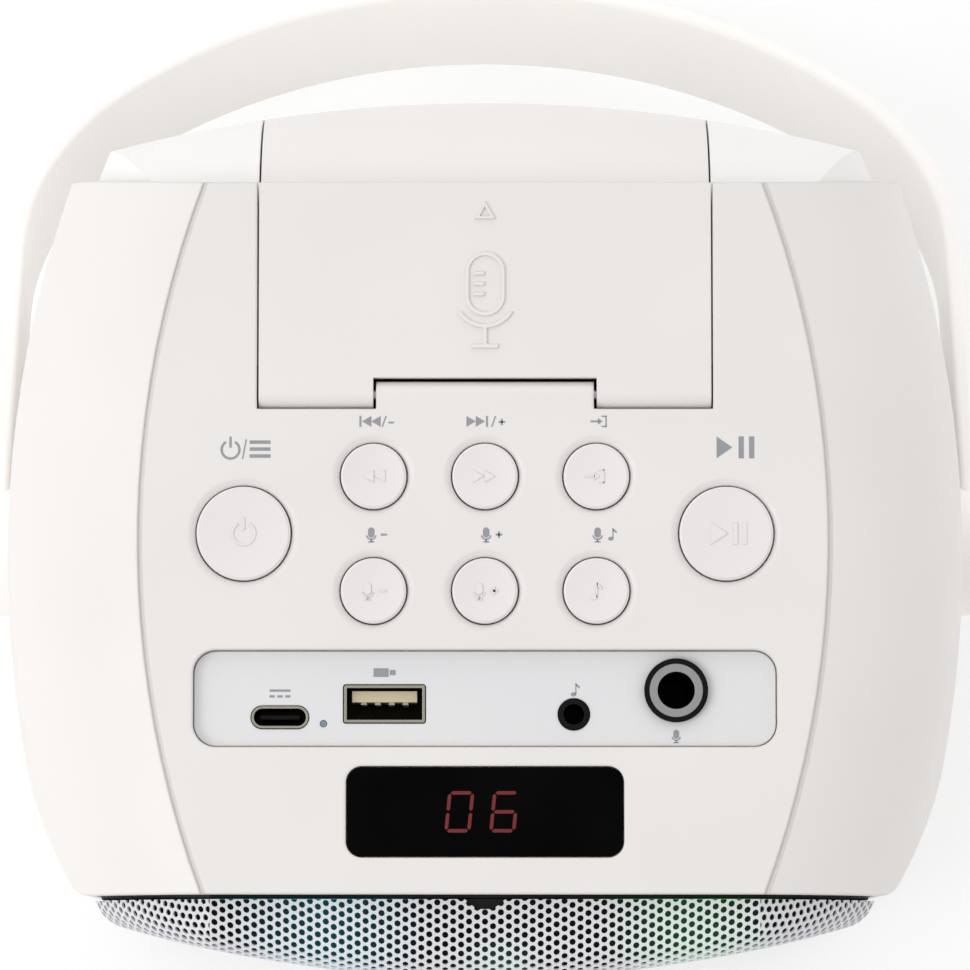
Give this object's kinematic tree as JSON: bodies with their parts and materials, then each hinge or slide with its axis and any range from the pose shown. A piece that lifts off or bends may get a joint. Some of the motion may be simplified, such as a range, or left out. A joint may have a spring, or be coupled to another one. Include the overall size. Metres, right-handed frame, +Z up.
{
  "type": "karaoke machine",
  "caption": "Barrel-shaped portable karaoke speaker: top control panel with buttons, ports and display, hinged compartment door, perforated front grille and swinging carry handle.",
  "frame": {"origin": "on the table plane, under the middle of the housing", "axes": "+X to the user's right, +Y to the rear where the handle lies folded, +Z up out of the control panel"},
  "size_m": [0.1852, 0.1991, 0.1704],
  "materials": {
    "white_plastic": "warm white, satin",
    "liner_plastic": "light grey, matt",
    "handle_plastic": "white, glossy",
    "grille_paint": "white powder coat on perforated steel",
    "black_plastic": "black, matt",
    "circuit_board": "green solder mask",
    "light_resin": "clear, lit",
    "clear_plastic": "milky, translucent",
    "basket_paint": "black paint on steel",
    "magnet_iron": "dark grey ferrite",
    "cone_paper": "pressed paper",
    "soft_rubber": "black, soft",
    "spider_cloth": "stiffened cloth",
    "copper": "plated copper alloy",
    "steel": "zinc plated",
    "plated_metal": "chrome plated",
    "dark_window": "smoked, glossy",
    "port_plastic": "cool white",
    "button_plastic": "warm white, satin",
    "aluminium": "extruded",
    "cell_wrap": "blue shrink wrap",
    "wire_sleeve": "insulation"
  },
  "bodies": {
    "body": {"housing": "white_plastic", "rear_cover": "white_plastic", "hinge_pin": "steel", "compartment_liner": "liner_plastic", "pivot_bolts": "steel", "pivot_nuts": "steel", "grille": "grille_paint", "grille_frame": "black_plastic", "front_baffle": "black_plastic", "light_board": "circuit_board", "lights": "light_resin", "light_diffuser": "clear_plastic", "speaker_basket": "basket_paint", "speaker_magnet": "magnet_iron", "speaker_surround": "soft_rubber", "speaker_spider": "spider_cloth", "speaker_screws": "steel", "control_board": "circuit_board", "switches": "black_plastic", "display_window": "dark_window", "display_module": "black_plastic", "port_plate": "port_plastic", "port_board": "circuit_board", "usb_c_shell": "steel", "usb_c_tongue": "black_plastic", "usb_shell": "steel", "usb_tongue": "copper", "aux_jack": "black_plastic", "mic_jack": "black_plastic", "mic_jack_sleeve": "plated_metal", "mic_jack_nut": "black_plastic", "status_lens": "clear_plastic", "main_board": "circuit_board", "heat_sink": "aluminium", "capacitors": "black_plastic", "battery_cells": "cell_wrap", "battery_cradle": "black_plastic", "feet": "soft_rubber", "cover_screws": "steel", "board_screws": "steel", "speaker_wires": "wire_sleeve", "battery_wires": "wire_sleeve", "ribbon_cable": "wire_sleeve"},
    "door": {"door": "white_plastic"},
    "handle": {"handle": "handle_plastic", "pivot_caps": "handle_plastic"},
    "cone": {"speaker_cone": "cone_paper", "speaker_dust_cap": "black_plastic", "voice_coil": "copper"},
    "power_button": {"power_button": "button_plastic"},
    "play_button": {"play_button": "button_plastic"},
    "previous_button": {"previous_button": "button_plastic"},
    "next_button": {"next_button": "button_plastic"},
    "source_button": {"source_button": "button_plastic"},
    "mic_down_button": {"mic_down_button": "button_plastic"},
    "mic_up_button": {"mic_up_button": "button_plastic"},
    "vocal_button": {"vocal_button": "button_plastic"}
  },
  "joints": [
    {"name": "door_hinge", "type": "hinge", "parent": "body", "child": "door", "pos_m": [0, 0.0247, 0.1677], "axis": [1, 0, 0], "range_deg": [0, 94]},
    {"name": "handle_pivot", "type": "hinge", "parent": "body", "child": "handle", "pos_m": [0, 0.0035, 0.09], "axis": [1, 0, 0], "range_deg": [0, 250]},
    {"name": "cone_travel", "type": "slide", "parent": "body", "child": "cone", "axis": [0, -1, 0], "range_m": [-0.001, 0.001], "stiffness_N_per_m": 2000},
    {"name": "power_press", "type": "slide", "parent": "body", "child": "power_button", "axis": [0, 0, -1], "range_m": [0, 0.0008], "stiffness_N_per_m": 1500},
    {"name": "play_press", "type": "slide", "parent": "body", "child": "play_button", "axis": [0, 0, -1], "range_m": [0, 0.0008], "stiffness_N_per_m": 1500},
    {"name": "previous_press", "type": "slide", "parent": "body", "child": "previous_button", "axis": [0, 0, -1], "range_m": [0, 0.0008], "stiffness_N_per_m": 1500},
    {"name": "next_press", "type": "slide", "parent": "body", "child": "next_button", "axis": [0, 0, -1], "range_m": [0, 0.0008], "stiffness_N_per_m": 1500},
    {"name": "source_press", "type": "slide", "parent": "body", "child": "source_button", "axis": [0, 0, -1], "range_m": [0, 0.0008], "stiffness_N_per_m": 1500},
    {"name": "mic_down_press", "type": "slide", "parent": "body", "child": "mic_down_button", "axis": [0, 0, -1], "range_m": [0, 0.0008], "stiffness_N_per_m": 1500},
    {"name": "mic_up_press", "type": "slide", "parent": "body", "child": "mic_up_button", "axis": [0, 0, -1], "range_m": [0, 0.0008], "stiffness_N_per_m": 1500},
    {"name": "vocal_press", "type": "slide", "parent": "body", "child": "vocal_button", "axis": [0, 0, -1], "range_m": [0, 0.0008], "stiffness_N_per_m": 1500}
  ]
}
